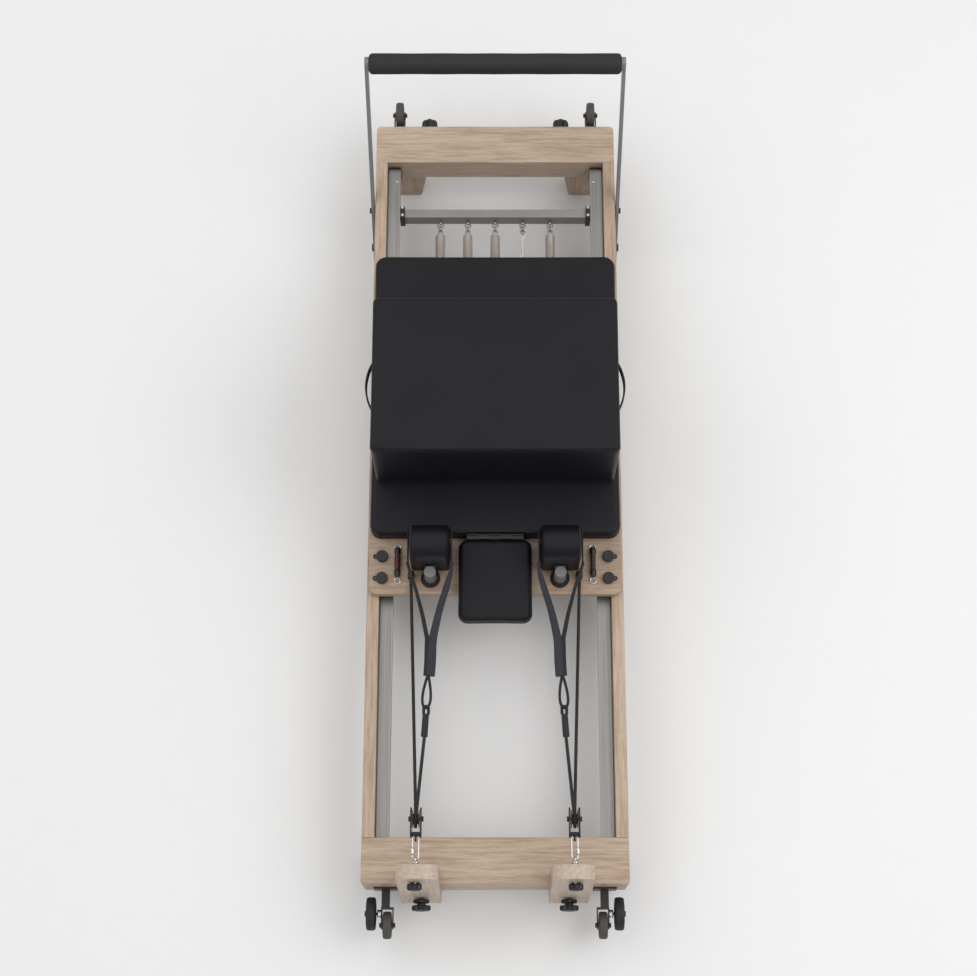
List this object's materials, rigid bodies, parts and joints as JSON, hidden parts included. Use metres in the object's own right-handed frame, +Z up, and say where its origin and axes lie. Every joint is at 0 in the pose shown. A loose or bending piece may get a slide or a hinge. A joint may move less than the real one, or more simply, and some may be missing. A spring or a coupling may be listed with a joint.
{
  "type": "pilates reformer",
  "caption": "Wooden pilates reformer with a sprung rolling carriage, footbar, rope pulleys on risers, shoulder rests, headrest and a loose padded sitting box.",
  "frame": {"origin": "on the floor, under the middle of the bounding box of the whole machine", "axes": "+X across the bed, +Y along the bed from the head end (pulleys) to the foot end (footbar), +Z up"},
  "size_m": [0.768, 2.542, 0.649],
  "materials": {
    "wood": "clear satin lacquer on beech-like timber",
    "riser_wood": "clear satin lacquer",
    "platform_wood": "clear satin lacquer on plywood",
    "upholstery": "matte black leatherette, fine grain",
    "foam": "matte closed-cell foam sleeve",
    "webbing": "woven black webbing",
    "rope": "braided black polyester",
    "aluminium": "brushed, anodised",
    "grey_steel": "satin grey powder coat",
    "dark_steel": "black powder coat",
    "spring_steel": "drawn spring wire, light oil sheen",
    "chrome": "bright plating",
    "black_plastic": "moulded, fine texture",
    "rubber": "black moulded rubber",
    "wheel_rubber": "grey-brown elastomer tyre"
  },
  "bodies": {
    "frame": {"head_end_board": "wood", "foot_end_beam": "wood", "legs": "wood", "side_boards": "wood", "foot_pads": "rubber", "tracks": "aluminium", "frame_screws": "chrome", "track_end_stops": "black_plastic", "spring_bar": "grey_steel", "spring_bar_brackets": "dark_steel", "spring_hooks": "chrome", "springs": "spring_steel", "risers": "riser_wood", "pulley_hooks": "chrome", "pulley_blocks": "black_plastic", "footbar_quadrants": "dark_steel", "caster_frames": "dark_steel", "rope_left": "rope", "rope_right": "rope", "hand_straps": "webbing"},
    "carriage": {"platform": "platform_wood", "chassis_rails": "dark_steel", "chassis_crossbars": "dark_steel", "roller_axles": "chrome", "carriage_pad": "upholstery", "shoulder_posts": "grey_steel", "shoulder_pads": "upholstery", "post_collars": "black_plastic", "strap_loops": "webbing", "rope_cleats": "black_plastic", "platform_knobs": "black_plastic", "cleat_grommets": "chrome", "carriage_hinge": "dark_steel"},
    "headrest": {"headrest_board": "platform_wood", "headrest_pad": "upholstery", "headrest_hinge": "dark_steel"},
    "head_end_rollers": {"head_end_rollers": "wheel_rubber"},
    "foot_end_rollers": {"foot_end_rollers": "wheel_rubber"},
    "sitting_box": {"box_cover": "upholstery", "box_panels": "platform_wood", "box_handles": "webbing"},
    "footbar": {"footbar_arms": "grey_steel", "footbar_tube": "grey_steel", "footbar_pad": "foam"},
    "lock_pin_left": {"lock_pin_left": "dark_steel"},
    "lock_pin_right": {"lock_pin_right": "dark_steel"},
    "clamp_knob_left": {"clamp_knob_left": "black_plastic"},
    "clamp_knob_right": {"clamp_knob_right": "black_plastic"},
    "pulley_knob_left": {"pulley_knob_left": "black_plastic"},
    "pulley_knob_right": {"pulley_knob_right": "black_plastic"},
    "foot_end_knob_left": {"foot_end_knob_left": "black_plastic"},
    "foot_end_knob_right": {"foot_end_knob_right": "black_plastic"},
    "sheave_left": {"sheave_left": "black_plastic"},
    "sheave_right": {"sheave_right": "black_plastic"},
    "head_caster_wheel_left": {"head_caster_wheel_left": "wheel_rubber"},
    "head_caster_wheel_right": {"head_caster_wheel_right": "wheel_rubber"},
    "foot_caster_wheel_left": {"foot_caster_wheel_left": "wheel_rubber"},
    "foot_caster_wheel_right": {"foot_caster_wheel_right": "wheel_rubber"},
    "side_wheel_left": {"side_wheel_left": "rubber"},
    "side_wheel_right": {"side_wheel_right": "rubber"}
  },
  "joints": [
    {"name": "carriage_slide", "type": "slide", "parent": "frame", "child": "carriage", "axis": [0, 1, 0], "range_m": [-0.62, 0], "stiffness_N_per_m": 1200, "springref_m": 0.03, "deforming": ["springs", "rope_left", "rope_right", "hand_straps"]},
    {"name": "head_end_rollers_spin", "type": "hinge", "parent": "carriage", "child": "head_end_rollers", "pos_m": [0, -0.273, 0.2263], "axis": [1, 0, 0], "continuous": true},
    {"name": "foot_end_rollers_spin", "type": "hinge", "parent": "carriage", "child": "foot_end_rollers", "pos_m": [0, 0.632, 0.2263], "axis": [1, 0, 0], "continuous": true},
    {"name": "headrest_tilt", "type": "hinge", "parent": "carriage", "child": "headrest", "pos_m": [0, -0.1725, 0.322], "axis": [1, 0, 0], "range_deg": [-40, 0]},
    {"name": "box_lift", "type": "slide", "parent": "carriage", "child": "sitting_box", "axis": [0, 0, 1], "range_m": [0, 0.3]},
    {"name": "footbar_swing", "type": "hinge", "parent": "frame", "child": "footbar", "pos_m": [0, 0.827, 0.09], "axis": [1, 0, 0], "range_deg": [-58, 25]},
    {"name": "lock_pin_left_pull", "type": "slide", "parent": "footbar", "child": "lock_pin_left", "axis": [-1, 0, 0], "range_m": [0, 0.012], "stiffness_N_per_m": 600, "springref_m": -0.004},
    {"name": "lock_pin_right_pull", "type": "slide", "parent": "footbar", "child": "lock_pin_right", "axis": [1, 0, 0], "range_m": [0, 0.012], "stiffness_N_per_m": 600, "springref_m": -0.004},
    {"name": "clamp_knob_left_turn", "type": "hinge", "parent": "frame", "child": "clamp_knob_left", "pos_m": [-0.203, -1.173, 0.15], "axis": [0, 1, 0], "continuous": true},
    {"name": "pulley_knob_left_turn", "type": "hinge", "parent": "frame", "child": "pulley_knob_left", "pos_m": [-0.21, -1.158, 0.405], "axis": [0, 1, 0], "continuous": true},
    {"name": "foot_end_knob_left_turn", "type": "hinge", "parent": "frame", "child": "foot_end_knob_left", "pos_m": [-0.203, 1.187, 0.21], "axis": [0, 1, 0], "continuous": true},
    {"name": "sheave_left_spin", "type": "hinge", "parent": "frame", "child": "sheave_left", "pos_m": [-0.21, -0.981, 0.4], "axis": [1, 0, 0], "continuous": true},
    {"name": "head_caster_wheel_left_spin", "type": "hinge", "parent": "frame", "child": "head_caster_wheel_left", "pos_m": [-0.297, -1.234, 0.122], "axis": [1, 0, 0], "continuous": true},
    {"name": "side_wheel_left_spin", "type": "hinge", "parent": "frame", "child": "side_wheel_left", "pos_m": [-0.342, -1.203, 0.122], "axis": [1, 0, 0], "continuous": true},
    {"name": "foot_caster_wheel_left_spin", "type": "hinge", "parent": "frame", "child": "foot_caster_wheel_left", "pos_m": [-0.297, 1.231, 0.192], "axis": [1, 0, 0], "continuous": true},
    {"name": "clamp_knob_right_turn", "type": "hinge", "parent": "frame", "child": "clamp_knob_right", "pos_m": [0.203, -1.173, 0.15], "axis": [0, 1, 0], "continuous": true},
    {"name": "pulley_knob_right_turn", "type": "hinge", "parent": "frame", "child": "pulley_knob_right", "pos_m": [0.21, -1.158, 0.405], "axis": [0, 1, 0], "continuous": true},
    {"name": "foot_end_knob_right_turn", "type": "hinge", "parent": "frame", "child": "foot_end_knob_right", "pos_m": [0.203, 1.187, 0.21], "axis": [0, 1, 0], "continuous": true},
    {"name": "sheave_right_spin", "type": "hinge", "parent": "frame", "child": "sheave_right", "pos_m": [0.21, -0.981, 0.4], "axis": [1, 0, 0], "continuous": true},
    {"name": "head_caster_wheel_right_spin", "type": "hinge", "parent": "frame", "child": "head_caster_wheel_right", "pos_m": [0.297, -1.234, 0.122], "axis": [1, 0, 0], "continuous": true},
    {"name": "side_wheel_right_spin", "type": "hinge", "parent": "frame", "child": "side_wheel_right", "pos_m": [0.342, -1.203, 0.122], "axis": [1, 0, 0], "continuous": true},
    {"name": "foot_caster_wheel_right_spin", "type": "hinge", "parent": "frame", "child": "foot_caster_wheel_right", "pos_m": [0.297, 1.231, 0.192], "axis": [1, 0, 0], "continuous": true}
  ],
  "couplings": [
    {"joint": "head_end_rollers_spin", "follows": "carriage_slide", "rad_per_m": -62.5},
    {"joint": "foot_end_rollers_spin", "follows": "carriage_slide", "rad_per_m": -62.5}
  ]
}
